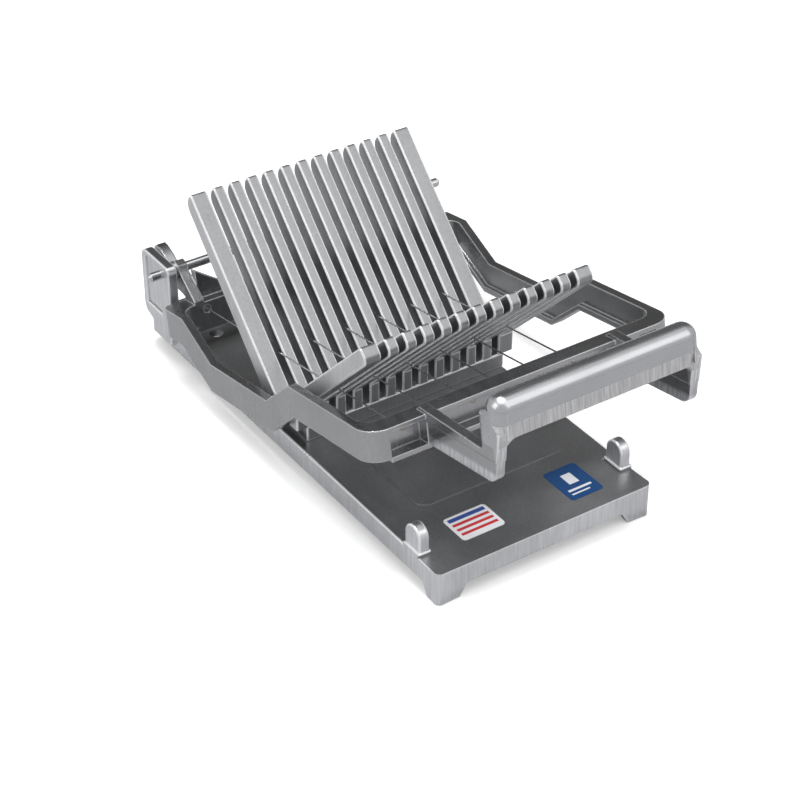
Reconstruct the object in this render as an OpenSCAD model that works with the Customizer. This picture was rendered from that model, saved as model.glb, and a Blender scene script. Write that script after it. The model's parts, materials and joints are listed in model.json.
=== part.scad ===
// Lever cheese cutter: a cast base with a V-shaped rack, and a hinged wire frame.
// Millimetres, +Z up, the handle towards -Y. The arm is shown part way open.

/* [Base] */
// Width of the bed
base_w = 121; // [100:1:150]
// Length of the bed, from its front edge to its rear edge
base_l = 262; // [240:1:300]
// Height of the bed's top face
base_h = 18; // [15:0.5:24]
// Wall of the bed
base_wall = 4; // [3:0.5:6]
// Radius of the bed's corners
base_r = 3; // [2.5:0.5:8]
// Height of the arch between the feet
arch_h = 6.5; // [2:0.5:8]
// Length of a foot along the bed's edge
foot_l = 12.5; // [8:0.5:30]
// Height of the two corner posts above the bed
post_h = 14; // [8:1:18]
// Length of a corner post
post_l = 11.6; // [10:0.2:18]
// Width of a corner post
post_w = 5.5; // [4.5:0.5:12]

/* [Rack] */
// Pitch of the slots
pitch = 9.525; // [7:0.1:14]
// Number of slots
slots = 12; // [6:2:16]
// Width of one slot
slot_w = 3.8; // [2:0.1:5]
// Width of an end rib
end_rib_w = 9; // [6:0.5:12]
// Length of the back slope, along its face
back_l = 109.5; // [80:0.5:120]
// Length of the front slope, along its face
front_l = 101.5; // [70:0.5:104]
// Thickness of the back ribs at the top
back_t = 8.5; // [8:0.25:12]
// Thickness of the back ribs at the bottom
back_root_t = 11; // [8:0.25:16]
// Thickness of the front ribs
front_t = 8.4; // [6:0.2:12]
// Height of the bottom of the V above the bed
vee_h = 15; // [13:0.2:22]
// Height of the bottom of the slots above the bed
sill_h = 8.5; // [6:0.5:11]

/* [Arm] */
// Width of the wire frame
frame_w = 173; // [160:1:210]
// Length of the wire frame
frame_l = 192; // [190:1:210]
// Thickness of a side rail
rail_t = 4.6; // [3.5:0.1:6]
// Depth of a side rail
rail_d = 15.6; // [12:0.2:20]
// Width of the two crossbars
bar_w = 10; // [8:0.5:14]
// Depth of the dip in the rails
dip_d = 16.4; // [8:0.2:20]
// Length of the handle
handle_l = 112; // [90:1:140]
// Width of the handle
handle_w = 13.5; // [12:0.5:28]
// Height of the handle
handle_d = 19.2; // [16:0.2:32]
// Reach of the handle's middle in front of the frame
handle_reach = 50.75; // [44:0.25:60]
// Distance between the two brackets
bracket_span = 107; // [80:1:120]
// Thickness of a bracket
bracket_t = 5; // [4:0.5:12]
// Angle of the arm as it is shown
rest_angle = 10; // [5:1:20]

/* [Hinge] */
// Height of the hinge pin above the table
hinge_h = 52; // [46:0.5:60]
// Diameter of the hinge pin
pin_d = 4.8; // [4:0.1:8]
// Thickness of an upright
upright_t = 5.5; // [4:0.5:8]
// Thickness of a hinge lug on the arm
lug_t = 5.3; // [4:0.1:8]
// Length of the pin that shows past an upright
pin_out = 8; // [3:0.5:12]

/* [Wires] */
// Number of cutting wires
wires = 6; // [3:1:6]
// Diameter of a cutting wire
wire_d = 0.8; // [0.5:0.1:1.2]
// Depth of the wires below the frame's top face
wire_drop = 4; // [3:0.2:5]

/* [Hidden] */
$fn = 48;

over = 1;              // overrun of a cut past the face that it opens
fit = 0.08;            // gap round a part that turns or passes through
c45 = cos(45);

// Hinge: the uprights stand outside the lugs, with a spacer between
upright_gap = 2;
rail_inset = 1.2;                                 // upright's outer face inside the rail's inner face
upright_x = frame_w / 2 - rail_t - rail_inset;    // outer face of an upright
lug_x = upright_x - upright_t - upright_gap;      // outer face of a lug
pin_end_r = 1.5;
upright_back = 22;                                // from the pin to the upright's rear face
upright_web_cut = 1.4;                            // depth of the recess inside the rim
// Outline and recess of an upright as (y, z) from the pin
upright_edge = [[-5.9, -36], [-6.4, -10], [-6.4, 2.5], [-5, 4.6], [-3, 5.2], [17.5, 5.2], [20, 4.6],
                [21.6, 3], [upright_back, 0.5], [upright_back, -28], [20.5, -31], [14, -33.5],
                [12.3, -36], [12.3, -39.5], [8.5, -41.3], [0.5, -41.3], [-5, -38.5]];
upright_pit = [[3.4, -26], [3.4, 1.2], [5, 2.2], [17, 2.2], [18.6, 0.6], [18.6, -26]];
// Outline of a lug in the arm's frame, with a tail behind the pin
lug_edge = [[-17, -15.3], [-17, -13], [-4.8, -0.5], [-3.6, 2.8], [0, 4.6], [3.4, 3.1], [5.2, 1.2],
            [6.8, 1.2], [9.8, 4], [15.3, 7.4], [18.4, 8.1], [20.5, 6.5], [21, 4.5], [8, -9], [-2, -11],
            [-7, -12.5], [-7, -15.3]];
set_screw_d = 3;
set_screw_l = 12;
set_screw_key = 1.5;
set_screw_in = (upright_web_cut + upright_t) / 2;  // from the outer face

// Arm outline, measured forwards from the pin (s) and up from it (h)
frame_s0 = 7;                                     // rear face of the frame
frame_s1 = frame_s0 + frame_l;                    // front face of the frame
frame_h = -14.3;                                  // top face of the frame
dip_start = 27;
dip_low_start = 52;
dip_low_end = 106;
dip_end = 130;
dip_slant = 2.6;                                  // shift of the lower corners of the ramps
front_bar_d = 17.2;                               // depth of the front crossbar
frame_r = 11;                                     // outer corners at the front
frame_rear_r = 4;                                 // outer corners at the rear
frame_inner_r = 8;
rail_lip = 2.6;                                   // inner lip along the bottom of a rail
rail_lip_h = 3;
bar_flange = 2.4;                                 // flange of the front crossbar's channel
bar_web = 3.6;
gusset_l = 22;
gusset_t = 4;
gusset_h = 1;                                     // top of the gusset beside the lug
handle_s = frame_s1 + handle_reach;               // middle of the handle
handle_h = 2.4;                                   // middle of the handle above the pin
handle_dome = handle_w / 2;
bracket_in = 7.6;                                 // start of a bracket behind the frame's front face
bracket_top = -12.5;                              // top of a bracket at the frame
bracket_bend = -14.9;                             // top of a bracket below the handle
bracket_low = -29.3;
bracket_web = 4.2;
bracket_ridge = 3.4;
bracket_rise = 2.5;                               // length of the ridge's run-in
leg_back = 7.25;                                  // rear edge of a leg behind the handle's middle
leg_top = 3.4;                                    // top of a leg's flat side at its rear edge
leg_front_top = -4;                               // top of a leg's flat side at its front edge
leg_front = 5.95;                                 // front edge of a leg at that height
leg_tip = 1.9;                                    // front edge of a leg at its lower corner
leg_tip_r = 6.5;

// Places of the hinge and the bed, with the whole part centred on the origin
front_reach = (handle_s + handle_w / 2) * cos(rest_angle)
    + (handle_d / 2 - handle_h) * sin(rest_angle);
hinge_y = (front_reach - upright_back) / 2;
bed_y1 = hinge_y + upright_back;                  // rear edge of the bed
bed_y0 = bed_y1 - base_l;                         // front edge of the bed

// Rack
ribs_w = (slots - 1) * pitch + slot_w;
rack_w = ribs_w + 2 * end_rib_w;
rack_gap = 1.7;                                   // between the rack's left side and the rail's lip
rack_x = -(frame_w / 2 - rail_t - rail_lip - rack_w / 2 - rack_gap);
vee_back = 106.6;                                 // bottom of the V in front of the hinge
vee_y = hinge_y - vee_back;
sill_front = -16.4;                               // front face of the sill from the V's bottom
sill_back = 21;
sill_in = 5.6;                                    // end ribs' overhang past the sill
sill_w = rack_w - 2 * sill_in;
back_tip_r = 6.5;
back_face_r = 1.5;
front_tip_r = 4;
front_face_r = 1.5;
corner_steps = 6;
rack_screw_d = 5;
rack_screw_l = 12;
rack_screw_head_d = 9;
rack_screw_head_h = 3;
rack_screw_key_d = 4;
rack_screw_key = 1.5;
rack_washer_d = 11;
rack_washer_t = 1;
rack_screw_wall = 12.5;                           // from the bed's wall to a rack screw
rack_screw_x = base_w / 2 - base_wall - rack_screw_wall;
rack_screw_y = 3.75;

// Bed
bed_x = rack_x - 2.7;                             // middle of the bed
bed_x0 = bed_x - base_w / 2;
bed_x1 = bed_x + base_w / 2;
beam_front = 5;                                   // rear beam's front face before the pin's line
beam_back = 12.3;                                 // rear beam's rear face behind the pin's line
wing_h = 10.7;                                    // underside of the beam
foot_slope = 4;                                   // run of an arch's sloped end
side_foot_l = 8.5;                                // foot along a side of the bed
rear_foot_in = 5;                                 // rear feet stand inside the sides
rear_foot_l = 15;
post_in = 15.5;                                   // from the bed's front edge to a post
post_tip_r = 5.8;
post_foot = 0.75;                                 // a post's foot is wider by this all round
post_foot_h = 2;
panel_l = 60;
panel_w = 84;
panel_up = 0.5;
panel_in = 44;
panel_r = 6;
drain_d = 7;
drain_x = 17.1;
drain_y = 38.5;

// Wires
wire_pitch = 2 * pitch;
wire_h = frame_h - wire_drop;
wire_end = 2;                                     // length of a wire past the frame's rear face
tension_d = 4;
tension_l = 15;
tension_nut_w = 7;
tension_nut_t = 3.2;
tension_washer_d = 9;
tension_washer_t = 0.8;
ferrule_d = 2.4;
ferrule_l = 4;
spacer_d = 9;

// Labels
label_t = 0.15;
label_r = 2;
striped_w = 23.4;
striped_l = 17.8;
striped_x = bed_x - 24.9;
striped_y = bed_y0 + 22.5;
blue_w = 18.6;
blue_l = 23.8;
blue_x = bed_x + 31.1;
blue_y = bed_y0 + 21.7;

function wire_x(i) = rack_x + (i - (wires + 1) / 2) * wire_pitch - pitch / 2;

// A rectangle with round corners, centred
module round_rect(w, l, r) {
    square([w - 2 * r, l], center = true);
    square([w, l - 2 * r], center = true);
    for (sx = [-1, 1], sy = [-1, 1]) translate([sx * (w / 2 - r), sy * (l / 2 - r)]) circle(r);
}

// Points of a corner's arc round (x, y), from angle a through a turn
function corner(x, y, r, a, turn) = [for (i = [0 : corner_steps])
    [x + r * cos(a + turn * i / corner_steps), y + r * sin(a + turn * i / corner_steps)]];

// Stands a (y, z) outline up and makes it w wide, starting at x
module side_plate(x, w) {
    translate([x, 0, 0]) rotate([90, 0, 90]) linear_extrude(w) children();
}

// A rod along X
module rod_x(x, l, d) {
    translate([x, 0, 0]) rotate([0, 90, 0]) cylinder(d = d, h = l);
}

// A rod along Y
module rod_y(y, l, d) {
    translate([0, y, 0]) rotate([-90, 0, 0]) cylinder(d = d, h = l);
}

// Places the arm's own frame at the hinge, turned up as shown
module at_arm() {
    translate([0, hinge_y, hinge_h]) rotate([-rest_angle, 0, 0]) children();
}

module at_hinge() {
    translate([0, hinge_y, hinge_h]) children();
}

// Base

module upright(side) {
    x = side < 0 ? -upright_x : upright_x - upright_t;
    face = side < 0 ? -upright_x - over : upright_x - upright_web_cut;
    at_hinge() difference() {
        side_plate(x, upright_t) polygon(upright_edge);
        side_plate(face, upright_web_cut + over) polygon(upright_pit);
        rod_x(x - over, upright_t + 2 * over, pin_d);
        translate([side * (upright_x - set_screw_in), 0, 0])
            rod_y(pin_d / 2 - over, upright_back, set_screw_d);
    }
}

module bed_plan(inset) {
    translate([bed_x, (bed_y0 + bed_y1) / 2])
        round_rect(base_w - 2 * inset, base_l - 2 * inset, base_r - inset / 4);
}

// Beam across the bed under the pin, which carries the two uprights
module beam() {
    translate([-upright_x, hinge_y - beam_front, wing_h])
        cube([2 * upright_x, beam_front + beam_back, base_h - wing_h]);
}

// An arch with sloped ends, l long at the feet's soles
module arch(l) {
    polygon([[0, -over], [0, 0], [foot_slope, arch_h], [l - foot_slope, arch_h], [l, 0], [l, -over]]);
}

// The arches leave feet at the corners
module arches() {
    side_l = base_l - side_foot_l - rear_foot_l;
    translate([0, bed_y0 + side_foot_l, 0]) side_plate(bed_x0 - over, base_w + 2 * over) arch(side_l);
    translate([bed_x0 + foot_l, bed_y0 - over, 0]) rotate([90, 0, 0]) mirror([0, 0, 1])
        linear_extrude(base_l + 2 * over) arch(base_w - 2 * foot_l);
    for (side = [-1, 1]) {
        x = side < 0 ? bed_x0 - over : bed_x1 - rear_foot_in;
        translate([x, bed_y1 - 2 * rear_foot_l, -over])
            cube([rear_foot_in + over, 2 * rear_foot_l + over, arch_h + over]);
    }
}

// A thin post with a rounded top
module corner_post(x) {
    translate([0, bed_y0 + post_in + post_l / 2, base_h]) side_plate(x - post_w / 2, post_w) {
        translate([-post_l / 2, -over]) square([post_l, post_h - post_tip_r + over]);
        translate([0, post_h - post_tip_r]) circle(post_tip_r);
    }
    translate([x - post_w / 2 - post_foot, bed_y0 + post_in - post_foot, base_h - over])
        cube([post_w + 2 * post_foot, post_l + 2 * post_foot, post_foot_h + over]);
}

module base_casting() color([0.55, 0.56, 0.58]) {
    difference() {
        union() {
            linear_extrude(base_h) bed_plan(0);
            beam();
        }
        translate([0, 0, -over]) linear_extrude(base_h - base_wall + over) bed_plan(base_wall);
        arches();
        translate([bed_x0 + drain_x, bed_y1 - drain_y, -over]) cylinder(d = drain_d, h = base_h + 2 * over);
        at_rack_screws() translate([0, 0, -over])
            cylinder(d = rack_screw_d + 2 * fit, h = base_wall + 2 * over);
    }
    translate([rack_x, bed_y0 + panel_in + panel_l / 2, base_h - over])
        linear_extrude(over + panel_up) round_rect(panel_w, panel_l, panel_r);
    for (side = [-1, 1]) {
        corner_post(bed_x + side * ((base_w - post_w) / 2 - post_foot));
        upright(side);
    }
}

// Rack

function rib_x0(k) = rack_x + (k - (slots + 1) / 2) * pitch + slot_w / 2
    - (k == 0 ? end_rib_w - (pitch - slot_w) : 0);
function rib_w(k) = k == 0 || k == slots ? end_rib_w : pitch - slot_w;

// Points given along a slope's face and down from it
function on_back(points) = [for (p = points) [c45 * (p.x + p.y), vee_h + c45 * (p.x - p.y)]];
function on_front(points) = [for (p = points) [-c45 * (p.x + p.y), vee_h + c45 * (p.x - p.y)]];

// One rib: from the V's bottom round the back slope, the foot and the front slope
module rib_outline() {
    polygon(concat([[0, vee_h]],
        on_back(corner(back_l - back_face_r, back_face_r, back_face_r, -90, 90)),
        on_back(corner(back_l - back_tip_r, back_t - back_tip_r, back_tip_r, 0, 90)),
        [[sill_h - vee_h + back_root_t / c45, sill_h], [sill_front, sill_h],
         [sill_front, vee_h - front_t / c45 - sill_front]],
        on_front(corner(front_l - front_tip_r, front_t - front_tip_r, front_tip_r, 90, -90)),
        on_front(corner(front_l - front_face_r, front_face_r, front_face_r, 0, -90))));
}

module rack_ribs() color([0.5, 0.51, 0.53]) for (k = [0 : slots])
    translate([0, vee_y, base_h]) side_plate(rib_x0(k), rib_w(k)) rib_outline();

// The foot of the rack, under the slots
module rack_sill() color([0.5, 0.51, 0.53]) difference() {
    translate([rack_x - sill_w / 2, vee_y + sill_front, base_h])
        cube([sill_w, sill_back - sill_front, sill_h]);
    at_rack_screws() cylinder(d = rack_screw_d, h = base_wall + sill_h - rack_washer_t);
}

// Arm

// Side view of the frame: level, a dip beside the rack, then level again
module frame_side(depth) {
    low = frame_h - dip_d;
    polygon([[-frame_s0, frame_h], [-dip_start, frame_h], [-dip_low_start, low], [-dip_low_end, low],
             [-dip_end, frame_h], [-frame_s1, frame_h], [-frame_s1, frame_h - depth],
             [-dip_end - dip_slant, frame_h - depth], [-dip_low_end - dip_slant, low - depth],
             [-dip_low_start + dip_slant, low - depth], [-dip_start + dip_slant, frame_h - depth],
             [-frame_s0, frame_h - depth]]);
}

module frame_lip_side() {
    low = frame_h - dip_d - rail_d;
    high = frame_h - rail_d;
    polygon([[-frame_s0, high], [-dip_start + dip_slant, high], [-dip_low_start + dip_slant, low],
             [-dip_low_end - dip_slant, low], [-dip_end - dip_slant, high], [-frame_s1, high],
             [-frame_s1, high + rail_lip_h], [-dip_end - dip_slant, high + rail_lip_h],
             [-dip_low_end - dip_slant, low + rail_lip_h], [-dip_low_start + dip_slant, low + rail_lip_h],
             [-dip_start + dip_slant, high + rail_lip_h], [-frame_s0, high + rail_lip_h]]);
}

// Plan of the frame's outside, with larger corners at the front
module frame_outside() {
    w = frame_w / 2;
    translate([-w, -frame_s1 + frame_r]) square([frame_w, frame_l - frame_r - frame_rear_r]);
    translate([-w + frame_r, -frame_s1]) square([frame_w - 2 * frame_r, frame_l / 2]);
    translate([-w + frame_rear_r, -frame_s0 - frame_l / 2])
        square([frame_w - 2 * frame_rear_r, frame_l / 2]);
    for (side = [-1, 1]) {
        translate([side * (w - frame_r), -frame_s1 + frame_r]) circle(frame_r);
        translate([side * (w - frame_rear_r), -frame_s0 - frame_rear_r]) circle(frame_rear_r);
    }
}

module frame_plan(inner) {
    difference() {
        frame_outside();
        translate([0, -(frame_s0 + frame_s1) / 2])
            round_rect(frame_w - 2 * rail_t - 2 * inner, frame_l - 2 * bar_w, frame_inner_r);
    }
}

module frame_ring() {
    deep = frame_h - dip_d - rail_d - over;
    intersection() {
        translate([0, 0, deep]) linear_extrude(frame_h - deep + over) frame_plan(0);
        side_plate(-frame_w, 2 * frame_w) frame_side(rail_d);
    }
    intersection() {
        translate([0, 0, deep]) linear_extrude(frame_h - deep + over) frame_plan(rail_lip);
        side_plate(-frame_w, 2 * frame_w) frame_lip_side();
    }
}

module front_bar_extra() {
    w = frame_w - 2 * frame_r;
    translate([-w / 2, -frame_s1, frame_h - front_bar_d]) cube([w, bar_w, front_bar_d]);
}

// Channel in the front of the crossbar, between and outside the brackets
module front_channel() {
    in = (bracket_span - bracket_t) / 2;
    out = (bracket_span + bracket_t) / 2;
    end = frame_w / 2 - frame_r;
    translate([0, -frame_s1 - over, frame_h - front_bar_d + bar_flange])
        for (cut = [[-end, -out], [-in, in], [out, end]]) translate([cut[0], 0, 0])
            cube([cut[1] - cut[0], bar_w - bar_web + over, front_bar_d - 2 * bar_flange]);
}

// Ear on the pin, with a web that slopes down along the rear crossbar
module hinge_lug(side) {
    x = side < 0 ? -lug_x : lug_x - lug_t;
    inner = lug_x - lug_t;
    side_plate(x, lug_t) polygon(lug_edge);
    translate([0, -frame_s0, 0]) rotate([90, 0, 0]) linear_extrude(gusset_t)
        polygon([[side * inner, frame_h - over], [side * (inner - gusset_l), frame_h - over],
                 [side * (inner - gusset_l), frame_h], [side * inner, gusset_h]]);
}

// Side view of a bracket and the leg that carries the handle
module bracket_outline() {
    back = -frame_s1 + bracket_in;
    leg = -handle_s + leg_back;
    tip = -handle_s - leg_tip;
    polygon(concat([[back, frame_h], [back - bracket_rise, bracket_top],
                    [leg + bracket_rise / 2, bracket_bend], [leg, bracket_bend + bracket_rise / 2],
                    [leg, leg_top], [-handle_s - leg_front, leg_front_top]],
                   corner(tip + leg_tip_r, bracket_low + leg_tip_r, leg_tip_r, 180, 90),
                   [[back, bracket_low]]));
}

module bracket(side) {
    x = side * bracket_span / 2;
    side_plate(x - bracket_web / 2, bracket_web) bracket_outline();
    intersection() {
        side_plate(x - bracket_t / 2, bracket_t) bracket_outline();
        translate([x - bracket_t, -handle_s - handle_w, bracket_bend - bracket_ridge])
            cube([2 * bracket_t, handle_reach + handle_w + bar_w, handle_d + bracket_ridge]);
    }
}

// A bar with a round top, domed ends and a flat skirt between the brackets
module handle_bar() {
    body = handle_l / 2 - handle_dome;
    skirt = (bracket_span - bracket_t) / 2;
    translate([0, -handle_s, handle_h + handle_d / 2 - handle_dome]) {
        rod_x(-body, 2 * body, handle_w);
        translate([-skirt, -handle_dome, handle_dome - handle_d])
            cube([2 * skirt, handle_w, handle_d - handle_dome]);
        for (side = [-1, 1]) translate([side * body, 0, 0]) {
            sphere(handle_dome);
            translate([0, 0, handle_dome - handle_d])
                cylinder(r = handle_dome, h = handle_d - handle_dome);
        }
    }
}

module wire_frame_arm() color([0.6, 0.62, 0.66]) at_arm() {
    web = -frame_s1 + bar_w - bar_web;
    difference() {
        union() {
            frame_ring();
            front_bar_extra();
            for (side = [-1, 1]) { hinge_lug(side); bracket(side); }
            handle_bar();
        }
        front_channel();
        for (i = [1 : wires]) translate([wire_x(i), 0, wire_h]) {
            rod_y(-frame_s1 - over, bar_w - bar_web + over, ferrule_d + 2 * fit);
            rod_y(web - over, bar_web + 2 * over, wire_d + 4 * fit);
            rod_y(-frame_s0 - bar_w - over, bar_w + 2 * over, tension_d + 2 * fit);
        }
        rod_x(-frame_w, 2 * frame_w, pin_d + 2 * fit);
    }
}

// Hinge hardware

module hinge_pin() color([0.78, 0.79, 0.8]) at_hinge() {
    half = upright_x + pin_out;
    rod_x(-half + pin_end_r, 2 * (half - pin_end_r), pin_d);
    for (side = [-1, 1]) translate([side * (half - pin_end_r), 0, 0])
        rotate([0, side * 90, 0]) cylinder(d1 = pin_d, d2 = pin_d - 2 * pin_end_r, h = pin_end_r);
}

module hinge_spacer(side) at_hinge() difference() {
    x = side < 0 ? -upright_x + upright_t : lug_x;
    rod_x(x + fit, upright_gap - 2 * fit, spacer_d);
    rod_x(x - over, upright_gap + 2 * over, pin_d + 2 * fit);
}

module hinge_spacer_left() color([0.7, 0.7, 0.72]) hinge_spacer(-1);
module hinge_spacer_right() color([0.7, 0.7, 0.72]) hinge_spacer(1);

module hinge_set_screws() color([0.25, 0.25, 0.27]) at_hinge()
    for (side = [-1, 1]) translate([side * (upright_x - set_screw_in), 0, 0]) difference() {
        rod_y(pin_d / 2, set_screw_l, set_screw_d);
        translate([0, pin_d / 2 + set_screw_l - set_screw_key, 0]) rotate([-90, 0, 0])
            cylinder(d = set_screw_d / 2, h = set_screw_key + over, $fn = 6);
    }

// Wires

module cutting_wire(i) color([0.75, 0.76, 0.78]) at_arm() translate([wire_x(i), 0, wire_h])
    rod_y(-frame_s1 + bar_w - bar_web - ferrule_l, frame_l - bar_w + bar_web + ferrule_l + wire_end,
          wire_d);

module cutting_wire_1() cutting_wire(1);
module cutting_wire_2() cutting_wire(2);
module cutting_wire_3() cutting_wire(3);
module cutting_wire_4() cutting_wire(4);
module cutting_wire_5() cutting_wire(5);
module cutting_wire_6() cutting_wire(6);

module at_wires() { at_arm() for (i = [1 : wires]) translate([wire_x(i), 0, wire_h]) children(); }

module wire_front_ferrules() color([0.72, 0.65, 0.45]) at_wires() difference() {
    rod_y(-frame_s1 + bar_w - bar_web - ferrule_l, ferrule_l, ferrule_d);
    rod_y(-frame_s1, 2 * bar_w, wire_d);
}

module wire_tension_screws() color([0.72, 0.73, 0.75]) at_wires() difference() {
    rod_y(-frame_s0 - bar_w, tension_l, tension_d);
    rod_y(-frame_s0 - bar_w - over, tension_l + 2 * over, wire_d);
}

module wire_tension_washers() color([0.74, 0.75, 0.77]) at_wires() difference() {
    rod_y(-frame_s0, tension_washer_t, tension_washer_d);
    rod_y(-frame_s0 - over, tension_washer_t + 2 * over, tension_d);
}

module wire_tension_nuts() color([0.7, 0.71, 0.73]) at_wires() difference() {
    translate([0, -frame_s0 + tension_washer_t, 0]) rotate([-90, 0, 0])
        cylinder(d = tension_nut_w / cos(30), h = tension_nut_t, $fn = 6);
    rod_y(-frame_s0 - over, tension_l, tension_d);
}

// Rack fasteners

module at_rack_screws() {
    for (side = [-1, 1])
        translate([rack_x + side * rack_screw_x, vee_y + rack_screw_y, base_h - base_wall]) children();
}

module rack_screws() color([0.68, 0.69, 0.71]) at_rack_screws() difference() {
    union() {
        translate([0, 0, -rack_washer_t]) cylinder(d = rack_screw_d, h = rack_screw_l - over);
        translate([0, 0, -rack_washer_t - rack_screw_head_h])
            cylinder(d = rack_screw_head_d, h = rack_screw_head_h);
    }
    translate([0, 0, -rack_washer_t - rack_screw_head_h - over])
        cylinder(d = rack_screw_key_d, h = rack_screw_key + over, $fn = 6);
}

module rack_screw_washers() color([0.72, 0.73, 0.75]) at_rack_screws() difference() {
    translate([0, 0, -rack_washer_t]) cylinder(d = rack_washer_d, h = rack_washer_t);
    translate([0, 0, -rack_washer_t - over]) cylinder(d = rack_screw_d, h = rack_washer_t + 2 * over);
}

// Labels

module label(x, y, w, l) {
    translate([x, y, base_h]) linear_extrude(label_t) round_rect(w, l, label_r);
}

module striped_label() color([0.9, 0.9, 0.92]) label(striped_x, striped_y, striped_w, striped_l);
module blue_label() color([0.15, 0.3, 0.65]) label(blue_x, blue_y, blue_w, blue_l);

base_casting();
rack_ribs();
rack_sill();
wire_frame_arm();
hinge_pin();
hinge_spacer_left();
hinge_spacer_right();
hinge_set_screws();
cutting_wire_1();
cutting_wire_2();
cutting_wire_3();
cutting_wire_4();
cutting_wire_5();
cutting_wire_6();
wire_front_ferrules();
wire_tension_screws();
wire_tension_nuts();
wire_tension_washers();
rack_screws();
rack_screw_washers();
striped_label();
blue_label();
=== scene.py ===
"""Lever cheese cutter: castings, polished handle, steel wires and printed labels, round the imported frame."""
import json
import math

import bmesh
import bpy
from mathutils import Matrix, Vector


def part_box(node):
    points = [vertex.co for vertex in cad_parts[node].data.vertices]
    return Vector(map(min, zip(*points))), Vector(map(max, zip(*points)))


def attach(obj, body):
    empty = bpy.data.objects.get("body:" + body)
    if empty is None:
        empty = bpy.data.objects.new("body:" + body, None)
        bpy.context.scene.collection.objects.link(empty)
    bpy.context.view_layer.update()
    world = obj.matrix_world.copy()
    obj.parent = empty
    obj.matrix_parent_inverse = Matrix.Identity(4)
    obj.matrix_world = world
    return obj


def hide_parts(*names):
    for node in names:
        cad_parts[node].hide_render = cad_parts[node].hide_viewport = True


bl_info = {
    "name": "Lever cheese cutter",
    "version": (1, 0, 0),
    "blender": (4, 5, 0),
    "location": "3D View > Sidebar > Cheese cutter",
    "description": "Dresses the packed cheese cutter with cast, polished and printed finishes",
    "category": "Object",
}

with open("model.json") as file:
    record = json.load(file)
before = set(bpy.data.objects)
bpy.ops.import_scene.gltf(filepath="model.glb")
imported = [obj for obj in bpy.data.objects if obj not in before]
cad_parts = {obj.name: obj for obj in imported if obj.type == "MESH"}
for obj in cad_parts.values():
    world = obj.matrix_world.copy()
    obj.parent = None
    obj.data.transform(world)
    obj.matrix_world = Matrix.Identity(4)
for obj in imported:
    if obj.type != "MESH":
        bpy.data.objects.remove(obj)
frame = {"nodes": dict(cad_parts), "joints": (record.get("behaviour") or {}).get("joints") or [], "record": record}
NODES = frame["nodes"]
RECORD = frame["record"]
HINGE = Vector(frame["joints"][0]["pos_m"])
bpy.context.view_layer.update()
REST = math.radians(10)  # how steeply the arm rises to its front in the rest pose

# The base casting
BED_TOP = 0.018  # height of the bed's top face
HALF_STEP = 0.00025  # half the height of the small step round the bed's panel
STEP_ZONE = 0.0006  # height over the bed's top within which faces and edges belong to that step

# The arm, as reaches in front of the hinge and heights over it, in the arm's own frame
BAR_HALF, BAR_BACK = 0.0509, 0.2425  # half the length of the handle's bar in the CAD, and where it starts
RIM_TOP = (-0.0255, -0.0235)  # heights between which the brackets' ground rim fades out
RIM_BACK = 0.1995  # where that rim starts
LEG_FRONT = (0.2505, 0.253)  # reaches between which the legs' ground front fades in
LEG_TOP, LEG_BACK = 0.0034, 0.243  # height of a leg's upper edge at its rear end, and where that end is
LEG_FALL = 0.55  # how steeply that edge falls to the front

# The handle's skin
SKIN = 0.00006  # how far it lies outside the bar
SIDE_START_SHARE, SIDE_END_SHARE = 0.1, 0.3  # shares of the grid's width where the front side starts and ends
SIDE_SHARE, TOP_SHARE = 0.2, 0.4  # its shares for a side or the underside, and for the round top
STRAIGHT_SHARE = 0.62  # share of the grid's length that is straight; the rest is domes
CROWDING = 1.7  # how much closer the rows get towards the domes
FILLET_FROM, FILLET_LONG = 0.0465, 0.0045  # where the skirt's fillet into a leg starts, and its length
FILLET_DEEP = 0.004  # how far it reaches down
BLEND = 0.0045  # height over which the domes widen into a leg
TIGHT_FROM, TIGHT_LONG, TIGHT_IN = 0.86, 0.14, 0.0011  # the waist under a dome's tip

# Finishes
WHITE, RED, NAVY = (0.8, 0.82, 0.86, 1.0), (0.55, 0.03, 0.04, 1.0), (0.03, 0.07, 0.3, 1.0)
PRINTS = {  # each label's finish, ground colour and bars, in shares of its half width and half length
    "striped_label": ("striped_print", (0.82, 0.83, 0.85, 1.0),
                      [(-0.86, y, 0.86, y + 0.2, RED) for y in (-0.62, -0.22, 0.18)]
                      + [(-0.86, 0.56, 0.86, 0.84, NAVY)]),
    "blue_label": ("blue_print", (0.012, 0.07, 0.22, 1.0),
                   [(-0.3, -0.1, 0.3, 0.55, WHITE), (-0.7, -0.5, 0.7, -0.38, WHITE),
                    (-0.7, -0.72, 0.4, -0.64, WHITE)]),
}
NEUTRAL = (0.985, 1.0, 1.03)
HARDWARE = {  # each slot's level, roughness and tint
    "pin_steel": (0.62, 0.14, NEUTRAL),
    "spacer_steel": (0.5, 0.3, NEUTRAL),
    "black_steel": (0.06, 0.42, NEUTRAL),
    "ferrule_brass": (0.36, 0.32, (1.0, 0.88, 0.66)),
    "fastener_steel": (0.52, 0.28, NEUTRAL),
    "wire_steel": (0.5, 0.22, NEUTRAL),
}
LAMPS = {  # each lamp's place, size and power
    "front": ((0.9, -1.5, 1.6), 1.6, 7.0),
    "left": ((-1.6, 0.1, 1.2), 1.2, 5.0),
    "top": ((-0.1, 0.4, 1.9), 0.5, 10.0),
}


def clamped(value):
    """A share, kept within 0 and 1."""
    return min(1.0, max(0.0, value))


def arm_place(s, h, x):
    """A point s in front of the hinge and h above it along the arm, in the part's frame at rest."""
    return Vector((x, HINGE.y - s * math.cos(REST) + h * math.sin(REST),
                   HINGE.z + s * math.sin(REST) + h * math.cos(REST)))


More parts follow.
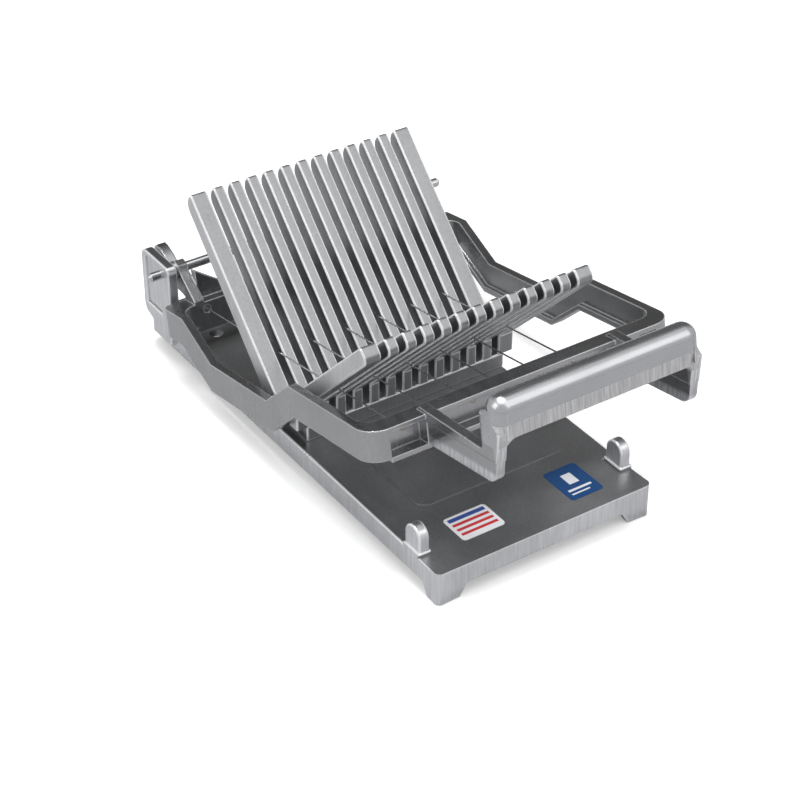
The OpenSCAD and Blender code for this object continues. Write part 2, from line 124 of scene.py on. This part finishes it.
def in_arm(point):
    """The same the other way: how far a point is in front of the hinge, and above it."""
    y, z = point.y - HINGE.y, point.z - HINGE.z
    return z * math.sin(REST) - y * math.cos(REST), y * math.sin(REST) + z * math.cos(REST)


# Materials


class Shader:
    """A small helper that builds one node material, reading Object coordinates."""

    def __init__(self, name):
        self.material = bpy.data.materials.new(name)
        self.material.use_nodes = True
        self.tree = self.material.node_tree
        self.bsdf = self.tree.nodes["Principled BSDF"]
        self.place = self.add("ShaderNodeTexCoord").outputs["Object"]

    def add(self, kind, **settings):
        node = self.tree.nodes.new(kind)
        for key, value in settings.items():
            setattr(node, key, value)
        return node

    def feed(self, socket, value):
        """Links a socket, or sets a plain value."""
        if isinstance(value, bpy.types.NodeSocket):
            self.tree.links.new(value, socket)
        else:
            socket.default_value = value

    def noise(self, scale, detail=4.0, rough=0.55, vector=None):
        node = self.add("ShaderNodeTexNoise")
        self.feed(node.inputs["Vector"], vector or self.place)
        node.inputs["Scale"].default_value = scale
        node.inputs["Detail"].default_value = detail
        node.inputs["Roughness"].default_value = rough
        return node.outputs["Fac"]

    def strokes(self, scale, detail=3.0):
        """Noise drawn out along the axes that have a low scale."""
        node = self.add("ShaderNodeMapping")
        self.feed(node.inputs["Vector"], self.place)
        node.inputs["Scale"].default_value = scale
        return self.noise(1.0, detail, 0.6, node.outputs["Vector"])

    def ranged(self, value, low, high, to_low, to_high):
        node = self.add("ShaderNodeMapRange")
        for key, number in (("Value", value), ("From Min", low), ("From Max", high), ("To Min", to_low),
                            ("To Max", to_high)):
            self.feed(node.inputs[key], number)
        return node.outputs["Result"]

    def varied(self, noise, low, high):
        """A noise's usual spread, mapped to a range."""
        return self.ranged(noise, 0.3, 0.7, low, high)

    def calc(self, operation, first, second):
        node = self.add("ShaderNodeMath", operation=operation)
        self.feed(node.inputs[0], first)
        self.feed(node.inputs[1], second)
        return node.outputs[0]

    def times(self, first, second):
        return self.calc("MULTIPLY", first, second)

    def mix(self, factor, first, second):
        node = self.add("ShaderNodeMix", data_type="RGBA")
        self.feed(node.inputs["Factor"], factor)
        self.feed(node.inputs[6], first)
        self.feed(node.inputs[7], second)
        return node.outputs[2]

    def colour(self, shade, tint):
        """Makes the base colour from a grey shade and its gains in red, green and blue."""
        node = self.add("ShaderNodeCombineColor")
        for channel, gain in zip(("Red", "Green", "Blue"), tint):
            self.feed(node.inputs[channel], self.times(shade, gain))
        self.feed(self.bsdf.inputs["Base Color"], node.outputs[0])

    def bump(self, height, strength, distance, normal=None):
        node = self.add("ShaderNodeBump")
        self.feed(node.inputs["Height"], height)
        node.inputs["Strength"].default_value = strength
        node.inputs["Distance"].default_value = distance
        if normal:
            self.feed(node.inputs["Normal"], normal)
        self.feed(self.bsdf.inputs["Normal"], node.outputs["Normal"])

    def dot(self, vector, other):
        node = self.add("ShaderNodeVectorMath", operation="DOT_PRODUCT")
        self.feed(node.inputs[0], vector)
        self.feed(node.inputs[1], other)
        return node.outputs["Value"]

    def facing_up(self):
        """How far the surface faces up or down, from 0 on a wall to 1 on a level face."""
        parts = self.add("ShaderNodeSeparateXYZ")
        self.feed(parts.inputs[0], self.add("ShaderNodeNewGeometry").outputs["Normal"])
        return self.calc("ABSOLUTE", parts.outputs["Z"], 0.0)

    def soft_edges(self, radius):
        """The normal with every edge rounded, and a factor that is 1 where the rounding is."""
        soft = self.add("ShaderNodeBevel", samples=6)
        soft.inputs["Radius"].default_value = radius
        near = self.dot(soft.outputs["Normal"], self.add("ShaderNodeNewGeometry").outputs["Normal"])
        return soft.outputs["Normal"], self.ranged(near, 0.86, 0.985, 1.0, 0.0)

    def along(self, direction, start):
        """The distance from a point in one direction."""
        return self.calc("SUBTRACT", self.dot(self.place, direction), Vector(direction).dot(start))


def cast_aluminium(name, level, rough, marks, top=1.0, bumpy=0.2, ground=None, soft=0.0, metal=0.95):
    """As-cast aluminium: faint mottling, fine upright marks on the walls and a sandy bump.
    Level faces are painted darker by top (lighter if it is over 1), as painted shade; ground is where the casting
    is ground, and soft is the radius of the rounding that edges are shaded with, along which a highlight is
    painted."""
    s = Shader(name)
    mottling = s.noise(28.0, 6.0)
    clouds = s.noise(9.0, 3.0)
    upright = s.strokes((900.0, 900.0, 45.0))
    shade = s.varied(mottling, level * 0.9, level * 1.08)
    shade = s.times(shade, s.varied(clouds, 0.93, 1.06))
    shade = s.times(shade, s.varied(upright, 1 - marks, 1 + marks))
    # Painted shade: faces that face up or down get a darker colour by top, standing in for the dark studio that
    # level metal mirrors.
    shade = s.times(shade, s.ranged(s.facing_up(), 0.75, 0.95, 1.0, top))
    matt = s.varied(mottling, rough - 0.05, rough + 0.07)
    if ground:
        rim = ground(s)
        bright = s.ranged(s.strokes((900.0, 500.0, 60.0)), 0.35, 0.65, 0.25, 0.95)
        shade = s.times(shade, s.calc("ADD", s.times(rim, bright), 1.0))
        matt = s.calc("ADD", matt, s.times(rim, 0.12))
    normal = None
    if soft:
        # Painted highlight: along the shaded rounding the colour is made lighter and less metallic, standing in
        # for the bright lines that light draws along edges.
        normal, painted_highlight = s.soft_edges(soft)
        shade = s.calc("ADD", shade, s.times(painted_highlight, 0.38))
        metal = s.ranged(painted_highlight, 0.0, 1.0, metal, 0.6)
    s.colour(shade, (1.0, 1.01, 1.03))
    s.feed(s.bsdf.inputs["Metallic"], metal)
    s.feed(s.bsdf.inputs["Roughness"], matt)
    grain = s.noise(700.0, 3.0, 0.6)
    s.bump(s.calc("ADD", s.times(grain, 0.5), s.times(upright, 0.5)), bumpy, 0.0003, normal)
    return s.material


def cast_with_painted_highlight(name, level, rough, marks, top=1.0):
    """A casting's finish, and a brighter, smoother and less metallic copy of it for its rounded edges, which is a
    painted highlight.
    """
    # The second finish is lighter and less metallic: a painted highlight for the rounded edges.
    return [cast_aluminium(name, level, rough, marks, top),
            cast_aluminium(name + "_edge", 0.9, rough - 0.08, 0.04, metal=0.45)]


def ground_rim(s):
    """1 on the brackets' lower rim and on the legs' front, which are ground with upright strokes."""
    height = s.along((0.0, math.sin(REST), math.cos(REST)), HINGE)
    reach = s.along((0.0, -math.cos(REST), math.sin(REST)), HINGE)
    low = s.times(s.ranged(height, *RIM_TOP, 1.0, 0.0), s.calc("GREATER_THAN", reach, RIM_BACK))
    return s.calc("MAXIMUM", low, s.ranged(reach, *LEG_FRONT, 0.0, 1.0))


def polished_metal(name, level, rough, tint=NEUTRAL):
    """Polished aluminium or steel with faint rub marks."""
    s = Shader(name)
    rub = s.strokes((60.0, 900.0, 900.0), 4.0)
    s.colour(s.varied(s.noise(35.0, 3.0), level * 0.93, level * 1.04), tint)
    s.bsdf.inputs["Metallic"].default_value = 1.0
    s.feed(s.bsdf.inputs["Roughness"], s.varied(rub, rough, rough + 0.1))
    s.bump(rub, 0.06, 0.0002)
    return s.material


def ground_metal():
    """The handle's skirt, ground with upright strokes."""
    s = Shader("ground_skirt")
    strokes = s.strokes((1400.0, 200.0, 60.0))
    s.colour(s.varied(strokes, 0.5, 0.8), (1.0, 1.0, 1.01))
    s.bsdf.inputs["Metallic"].default_value = 0.9
    s.feed(s.bsdf.inputs["Roughness"], s.varied(strokes, 0.4, 0.55))
    s.bump(strokes, 0.3, 0.0002)
    return s.material


def gloss_print(name, ground, bars, low, high):
    """Gloss vinyl with plain bars, for the label that fills the box from low to high."""
    s = Shader(name)
    parts = s.add("ShaderNodeSeparateXYZ")
    s.feed(parts.inputs[0], s.place)
    across, along = (s.calc("SUBTRACT", parts.outputs[axis], (low[i] + high[i]) / 2)
                     for i, axis in enumerate("XY"))
    half_width, half_length = ((high[i] - low[i]) / 2 for i in (0, 1))

    def between(value, start, end):
        return s.times(s.calc("GREATER_THAN", value, start), s.calc("LESS_THAN", value, end))

    colour = s.mix(s.noise(60.0), ground, tuple(c * 0.9 for c in ground[:3]) + (1.0,))
    for x0, y0, x1, y1, ink in bars:
        inside = s.times(between(across, half_width * x0, half_width * x1),
                         between(along, half_length * y0, half_length * y1))
        colour = s.mix(inside, colour, ink)
    s.feed(s.bsdf.inputs["Base Color"], colour)
    s.bsdf.inputs["Roughness"].default_value = 0.28
    s.bsdf.inputs["Coat Weight"].default_value = 0.3
    return s.material


def dress(node, material):
    """Gives its finish to a CAD node that is shown as it is."""
    NODES[node].data.materials.clear()
    NODES[node].data.materials.append(material)


# Mesh helpers


def copied(name):
    """A bmesh of a CAD node, with its loose triangles joined and its flat faces made whole."""
    bm = bmesh.new()
    bm.from_mesh(NODES[name].data)
    bmesh.ops.remove_doubles(bm, verts=bm.verts, dist=2e-6)
    bmesh.ops.dissolve_limit(bm, angle_limit=math.radians(0.6), verts=bm.verts, edges=bm.edges)
    return bm


def sharp_edges(bm, angle, shortest=0.0):
    """Edges whose faces meet at more than that angle, in degrees."""
    least = math.radians(angle)
    return [e for e in bm.edges if len(e.link_faces) == 2 and e.calc_face_angle(0.0) > least
            and e.calc_length() >= shortest]


def rounded(bm, edges, width, segments=3, clamp=True, painted_highlight=True):
    """Rounds edges, and can give the rounding the second finish, which is a painted highlight."""
    made = bmesh.ops.bevel(bm, geom=edges, offset=width, offset_type="OFFSET", segments=segments, profile=0.5,
                           affect="EDGES", clamp_overlap=clamp, material=-1)
    for f in made["faces"]:
        f.material_index = int(painted_highlight)


def finished(bm, name, body, replaced, materials, smooth=38.0):
    """Makes the piece's object, shades it with its large faces kept flat, and ties it to its body."""
    mesh = bpy.data.meshes.new(name)
    bm.to_mesh(mesh)
    bm.free()
    for material in materials:
        mesh.materials.append(material)
    flat_normals(mesh, smooth)
    made = bpy.data.objects.new(name, mesh)
    bpy.context.scene.collection.objects.link(made)
    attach(made, body)
    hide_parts(*replaced)


def flat_normals(mesh, smooth):
    """Weighs each corner's normal by the faces' areas, so that a small rounding shades smoothly between
    flat faces."""
    least = math.cos(math.radians(smooth))
    around = [[] for _ in mesh.vertices]
    faces = [(p.normal.copy(), p.area) for p in mesh.polygons]
    for p in mesh.polygons:
        p.use_smooth = True
        for v in p.vertices:
            around[v].append(p.index)
    normals = []
    for p in mesh.polygons:
        own = faces[p.index][0]
        for v in p.vertices:
            total = Vector((0.0, 0.0, 0.0))
            for other in around[v]:
                normal, area = faces[other]
                if normal.dot(own) > least:
                    total += normal * area
            normals.append(total.normalized() if total.length > 0 else own)
    mesh.normals_split_custom_set([tuple(n) for n in normals])


# Sizes


def setting(name, description, default):
    """A setting that is a plain number."""
    return bpy.props.FloatProperty(name=name, description=description, default=default)


def length(name, description, default):
    """A setting in metres."""
    return bpy.props.FloatProperty(name=name, description=description, default=default, unit="LENGTH")


class StageSizes(bpy.types.PropertyGroup):
    """Where the camera stands and how bright the studio is."""

    azimuth: setting("Azimuth", "Direction that the camera looks from, in degrees", -33.9)
    elevation: setting("Elevation", "Height of the camera, in degrees", 35.0)
    focal_px: setting("Focal length in pixels", "Focal length over the picture's 800 pixels", 2240.0)
    stand: bpy.props.FloatVectorProperty(name="Camera", description="The camera's place", subtype="XYZ",
                                         unit="LENGTH", default=(-0.51707, -0.748402, 0.64726))
    sky: setting("Sky", "Brightness of the studio that the metal mirrors", 0.62)


class CastSizes(bpy.types.PropertyGroup):
    """How far edges are rounded: the base's and the rack's in the mesh, the arm's in its shading."""

    base_edge: length("Base edge", "Rounding of the base's edges", 0.0009)
    rib_edge: length("Rib edge", "Rounding of the rack's ribs", 0.0009)
    # This radius also sets the band of the arm's painted edge highlight.
    soft_edge: length("Soft edge", "Rounding that the arm's shading shows", 0.0011)
    fine_edge: length("Fine edge", "Rounding of shallow steps", 0.0002)


class HandleSizes(bpy.types.PropertyGroup):
    """The handle's bar, measured in the arm's own frame."""

    middle: length("Reach", "From the hinge to the bar's middle", 0.24975)
    radius: length("Radius", "Radius of the bar's top and ends", 0.00675)
    axis: length("Axis", "Height of the round top's axis over the hinge", 0.00525)
    low: length("Skirt", "Lower edge of the skirt", -0.0072)
    half: length("Half length", "From the middle to an end's dome centre", 0.04925)
    polish: length("Polish line", "Height at which the polish ends", -0.0004)


# Stage


class CUTTER_OT_stage(bpy.types.Operator):
    """Makes the floor, the soft lamps and the camera at the photograph's angle"""

    bl_idname = "cutter.stage"
    bl_label = "Stage"

    def execute(self, context):
        sizes = context.scene.cutter_stage
        self.camera(context, sizes)
        self.floor()
        self.world(context, sizes)
        self.lamps()
        return {"FINISHED"}

    def camera(self, context, sizes):
        data = bpy.data.cameras.new("camera")
        camera = bpy.data.objects.new("camera", data)
        context.scene.collection.objects.link(camera)
        data.sensor_width = 36.0
        data.lens = data.sensor_width * sizes.focal_px / 800
        data.clip_start = 0.05
        data.clip_end = 50.0
        a, e = math.radians(sizes.azimuth), math.radians(sizes.elevation)
        back = Vector((math.sin(a) * math.cos(e), -math.cos(a) * math.cos(e), math.sin(e)))
        camera.location = sizes.stand
        camera.rotation_mode = "QUATERNION"
        camera.rotation_quaternion = (-back).to_track_quat("-Z", "Y")
        context.scene.camera = camera

    def floor(self):
        """A matt floor that the camera sees white, and the part a little darker."""
        mesh = bpy.data.meshes.new("floor")
        bm = bmesh.new()
        bmesh.ops.create_grid(bm, x_segments=1, y_segments=1, size=4.0)
        bm.to_mesh(mesh)
        bm.free()
        floor = bpy.data.objects.new("floor", mesh)
        bpy.context.scene.collection.objects.link(floor)
        s = Shader("floor")
        seen = s.add("ShaderNodeLightPath").outputs["Is Camera Ray"]
        s.feed(s.bsdf.inputs["Base Color"], s.mix(seen, (0.52, 0.52, 0.53, 1), (0.97, 0.97, 0.97, 1)))
        s.bsdf.inputs["Roughness"].default_value = 0.95
        s.bsdf.inputs["Specular IOR Level"].default_value = 0.05
        s.bsdf.inputs["Emission Color"].default_value = (1, 1, 1, 1)
        s.feed(s.bsdf.inputs["Emission Strength"], s.ranged(seen, 0.0, 1.0, 0.0, 0.3))
        mesh.materials.append(s.material)

    def world(self, context, sizes):
        """White to the camera, and the studio's brightness to all else."""
        world = bpy.data.worlds.new("studio")
        context.scene.world = world
        world.use_nodes = True
        tree = world.node_tree
        back = tree.nodes["Background"]
        back.inputs["Color"].default_value = (1, 1, 1, 1)
        path = tree.nodes.new("ShaderNodeLightPath")
        level = tree.nodes.new("ShaderNodeMapRange")
        tree.links.new(path.outputs["Is Camera Ray"], level.inputs["Value"])
        tree.links.new(self.brightness(tree, sizes), level.inputs["To Min"])
        level.inputs["To Max"].default_value = 1.0
        tree.links.new(level.outputs["Result"], back.inputs["Strength"])

    def brightness(self, tree, sizes):
        """Dark across from the camera, which level metal mirrors, and bright overhead."""
        direction = tree.nodes.new("ShaderNodeTexCoord").outputs["Generated"]
        near = tree.nodes.new("ShaderNodeVectorMath")
        near.operation = "DOT_PRODUCT"
        tree.links.new(direction, near.inputs[0])
        a, e = math.radians(sizes.azimuth), math.radians(sizes.elevation - 6)
        near.inputs[1].default_value = (-math.sin(a) * math.cos(e), math.cos(a) * math.cos(e), math.sin(e))
        parts = tree.nodes.new("ShaderNodeSeparateXYZ")
        tree.links.new(direction, parts.inputs[0])
        bright = tree.nodes.new("ShaderNodeMath")
        bright.operation = "MULTIPLY"
        wall = self.smooth(tree, near.outputs["Value"], 0.62, 0.93, sizes.sky, sizes.sky * 0.22)
        roof = self.smooth(tree, parts.outputs["Z"], 0.84, 0.95, 1.0, 3.2)
        tree.links.new(wall, bright.inputs[0])
        tree.links.new(roof, bright.inputs[1])
        return bright.outputs[0]

    def smooth(self, tree, value, *numbers):
        """A smooth step between two values, from one level to another."""
        node = tree.nodes.new("ShaderNodeMapRange")
        node.interpolation_type = "SMOOTHSTEP"
        tree.links.new(value, node.inputs["Value"])
        for key, number in zip(("From Min", "From Max", "To Min", "To Max"), numbers):
            node.inputs[key].default_value = number
        return node.outputs["Result"]

    def lamps(self):
        for name, (place, size, power) in LAMPS.items():
            data = bpy.data.lights.new(name, "AREA")
            data.size = size
            data.energy = power
            lamp = bpy.data.objects.new(name, data)
            bpy.context.scene.collection.objects.link(lamp)
            lamp.location = place
            lamp.rotation_mode = "QUATERNION"
            lamp.rotation_quaternion = (-Vector(place)).to_track_quat("-Z", "Y")


# Castings


class CUTTER_OT_base(bpy.types.Operator):
    """Rounds the base casting and gives it its sandy walls, a painted highlight on the rounded edges and painted
    shade on its level top
    """

    bl_idname = "cutter.base"
    bl_label = "Base casting"

    def execute(self, context):
        sizes = context.scene.cutter_cast
        bm = copied("base_casting")
        step = [e for e in sharp_edges(bm, 25) if self.on_step(e)]
        rounded(bm, step, sizes.fine_edge, segments=2, painted_highlight=False)
        # The rounding of the outer edges takes the painted-highlight finish.
        outer = [e for e in sharp_edges(bm, 28, 0.0006) if self.free(e)]
        rounded(bm, outer, sizes.base_edge, clamp=False)
        for f in bm.faces:
            if -0.0001 < f.calc_center_median().z - BED_TOP < STEP_ZONE and abs(f.normal.z) < 0.95:
                f.material_index = 2
        # The base's finishes: level faces painted darker by 0.47 as painted shade, a painted highlight on the
        # rounded edges, and the panel's step.
        finishes = cast_with_painted_highlight("base_casting", 0.78, 0.33, 0.1, 0.47)
        finishes.append(cast_aluminium("panel_step", 0.3, 0.36, 0.05))
        finished(bm, "base_body", "base", ["base_casting"], finishes)
        return {"FINISHED"}

    def on_step(self, edge):
        """True for an edge of the panel's small step, apart from the line where it meets the bed."""
        heights = [v.co.z - BED_TOP for v in edge.verts]
        return all(abs(h - HALF_STEP) < 0.0004 for h in heights) and any(h > 0.0002 for h in heights)

    def free(self, edge):
        """True for an outer edge that isn't part of that step."""
        return edge.is_convex and not any(0.00005 < abs(v.co.z - BED_TOP) < STEP_ZONE for v in edge.verts)


class CUTTER_OT_rack(bpy.types.Operator):
    """Rounds the rack's ribs and foot, with a painted highlight on the rounded edges and painted light on the
    outer side
    """

    bl_idname = "cutter.rack"
    bl_label = "Rack"

    def execute(self, context):
        sizes = context.scene.cutter_cast
        finishes = cast_with_painted_highlight("rack_casting", 0.36, 0.32, 0.08)
        # The left outer side gets a lighter copy of the casting: painted light standing in for the light from the
        # left.
        finishes.append(cast_aluminium("rack_side_painted_light", 0.66, 0.34, 0.08, metal=0.7))
        bm = copied("rack_ribs")
        foot = min(v.co.z for v in bm.verts)
        rounded(bm, [e for e in sharp_edges(bm, 28) if any(v.co.z > foot + 0.0001 for v in e.verts)],
                sizes.rib_edge)
        # Faces of the left outer side take that painted-light finish.
        left = min(v.co.x for v in bm.verts)
        for f in bm.faces:
            if f.calc_center_median().x < left + 0.00005:
                f.material_index = 2
        finished(bm, "rack_comb", "base", ["rack_ribs"], finishes)
        bm = copied("rack_sill")
        rounded(bm, sharp_edges(bm, 60, 0.004), sizes.rib_edge)
        finished(bm, "rack_foot", "base", ["rack_sill"], finishes)
        return {"FINISHED"}


class CUTTER_OT_arm(bpy.types.Operator):
    """Dresses the wire frame with its brackets, and makes the polished handle with its ground skirt"""

    bl_idname = "cutter.arm"
    bl_label = "Arm and handle"

    def execute(self, context):
        bm = copied("wire_frame_arm")
        covered = [f for f in bm.faces if self.on_bar(f.calc_center_median())]
        bmesh.ops.delete(bm, geom=covered, context="FACES")
        # The arm's casting: level faces painted darker by 0.62 as painted shade, and a painted highlight along the
        # edges that its shading rounds.
        finished(bm, "arm_body", "arm", ["wire_frame_arm"],
                 [cast_aluminium("arm_casting", 0.46, 0.25, 0.05, 0.62, 0.12, ground_rim,
                                 context.scene.cutter_cast.soft_edge)])
        self.handle(context.scene.cutter_handle)
        return {"FINISHED"}

    def on_bar(self, point):
        """True for a point of the CAD's bar, which the handle's skin covers."""
        return abs(point.x) < BAR_HALF and in_arm(point)[0] > BAR_BACK

    def handle(self, sizes):
        """Wraps a grid round the bar: round its section in u, and along the bar in w."""
        bm = bmesh.new()
        bmesh.ops.create_grid(bm, x_segments=56, y_segments=44, size=0.5)
        for v in bm.verts:
            v.co = self.skin(sizes, v.co.x + 0.5, v.co.y * 2)
        bmesh.ops.remove_doubles(bm, verts=bm.verts, dist=1e-6)
        bmesh.ops.holes_fill(bm, edges=[e for e in bm.edges if e.is_boundary], sides=0)
        bmesh.ops.recalc_face_normals(bm, faces=bm.faces)
        for f in bm.faces:
            if in_arm(f.calc_center_median())[1] < sizes.polish and abs(f.normal.x) < 0.9:
                f.material_index = 1
        finished(bm, "handle", "arm", ["wire_frame_arm"],
                 [polished_metal("polished_handle", 0.58, 0.2), ground_metal()], 50.0)

    def skin(self, sizes, u, w):
        """The bar's surface: u from 0 to 1 round the section, w from -1 to 1 along the bar."""
        r = sizes.radius + SKIN
        turn = max(0.0, (abs(w) - STRAIGHT_SHARE) / (1 - STRAIGHT_SHARE)) * math.pi / 2
        reach = sizes.half * (1 - (1 - min(1.0, abs(w) / STRAIGHT_SHARE)) ** CROWDING)
        x = math.copysign(reach + r * math.sin(turn), w)
        rho = r * math.cos(turn)
        fillet = clamped((abs(x) - FILLET_FROM) / FILLET_LONG)
        low = sizes.low - SKIN - FILLET_DEEP * fillet ** 2
        tight = max(0.0, (math.sin(turn) - TIGHT_FROM) / TIGHT_LONG) ** 2 * TIGHT_IN
        if SIDE_END_SHARE <= u <= 1 - SIDE_END_SHARE:
            angle = (u - SIDE_END_SHARE) / TOP_SHARE * math.pi
            return arm_place(sizes.middle + rho * math.cos(angle), sizes.axis + rho * math.sin(angle), x)
        if SIDE_START_SHARE <= u <= 1 - SIDE_START_SHARE:
            front = u < 0.5
            up = (u - SIDE_START_SHARE if front else 1 - SIDE_START_SHARE - u) / SIDE_SHARE
            h = low + (sizes.axis - low) * up
            return arm_place(*self.side(sizes, h, rho, front, fillet, tight), x)
        forward = (u + SIDE_START_SHARE if u < 0.5 else u - (1 - SIDE_START_SHARE)) / SIDE_SHARE
        back, front = (self.side(sizes, low, rho, at_front, fillet, tight)[0] for at_front in (False, True))
        return arm_place(back + (front - back) * forward, low, x)

    def side(self, sizes, h, rho, front, fillet, tight):
        """A point of the bar's flat side. Past the round ends it widens downwards into the leg."""
        s = sizes.middle + (sizes.radius if front else -sizes.radius)
        below = clamped((LEG_TOP - (s - LEG_BACK) * LEG_FALL + BLEND - h) / BLEND)
        below = below * below * (3 - 2 * below)
        wide = rho + (sizes.radius - rho) * below
        wide += fillet * (min(0.0, h) * 0.2 if front else 0.0005 * below) - tight * below
        return sizes.middle + (wide if front else -wide), h


# Hardware and labels


class CUTTER_OT_hardware(bpy.types.Operator):
    """Finishes the pin, spacers, wires, screws, nuts, washers and ferrules"""

    bl_idname = "cutter.hardware"
    bl_label = "Hardware"

    def execute(self, context):
        finishes = {slot: polished_metal(slot, *settings) for slot, settings in HARDWARE.items()}
        for part in RECORD["subparts"]:
            if part["material_slot"] in finishes:
                dress(part["node"], finishes[part["material_slot"]])
        return {"FINISHED"}


class CUTTER_OT_labels(bpy.types.Operator):
    """Prints the two labels with plain stripes and bars"""

    bl_idname = "cutter.labels"
    bl_label = "Labels"

    def execute(self, context):
        for label, settings in PRINTS.items():
            dress(label, gloss_print(*settings, *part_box(label)))
        return {"FINISHED"}


class CUTTER_PT_panel(bpy.types.Panel):
    """Buttons and sizes of the cheese cutter"""

    bl_idname = "CUTTER_PT_panel"
    bl_label = "Cheese cutter"
    bl_space_type = "VIEW_3D"
    bl_region_type = "UI"
    bl_category = "Cheese cutter"

    def draw(self, context):
        for made in OPERATORS:
            self.layout.operator(made.bl_idname)
        for sizes in (context.scene.cutter_stage, context.scene.cutter_cast, context.scene.cutter_handle):
            column = self.layout.column(align=True)
            for name in sizes.__annotations__:
                column.prop(sizes, name)


OPERATORS = (CUTTER_OT_stage, CUTTER_OT_base, CUTTER_OT_rack, CUTTER_OT_arm, CUTTER_OT_hardware,
             CUTTER_OT_labels)
CLASSES = (StageSizes, CastSizes, HandleSizes, *OPERATORS, CUTTER_PT_panel)


def register():
    for made in CLASSES:
        bpy.utils.register_class(made)
    bpy.types.Scene.cutter_stage = bpy.props.PointerProperty(type=StageSizes)
    bpy.types.Scene.cutter_cast = bpy.props.PointerProperty(type=CastSizes)
    bpy.types.Scene.cutter_handle = bpy.props.PointerProperty(type=HandleSizes)


def unregister():
    for name in ("cutter_stage", "cutter_cast", "cutter_handle"):
        delattr(bpy.types.Scene, name)
    for made in reversed(CLASSES):
        bpy.utils.unregister_class(made)


def main():
    register()
    bpy.context.scene.view_settings.view_transform = "Standard"
    bpy.ops.cutter.stage()
    bpy.ops.cutter.base()
    bpy.ops.cutter.rack()
    bpy.ops.cutter.arm()
    bpy.ops.cutter.hardware()
    bpy.ops.cutter.labels()


if __name__ == "__main__":
    main()
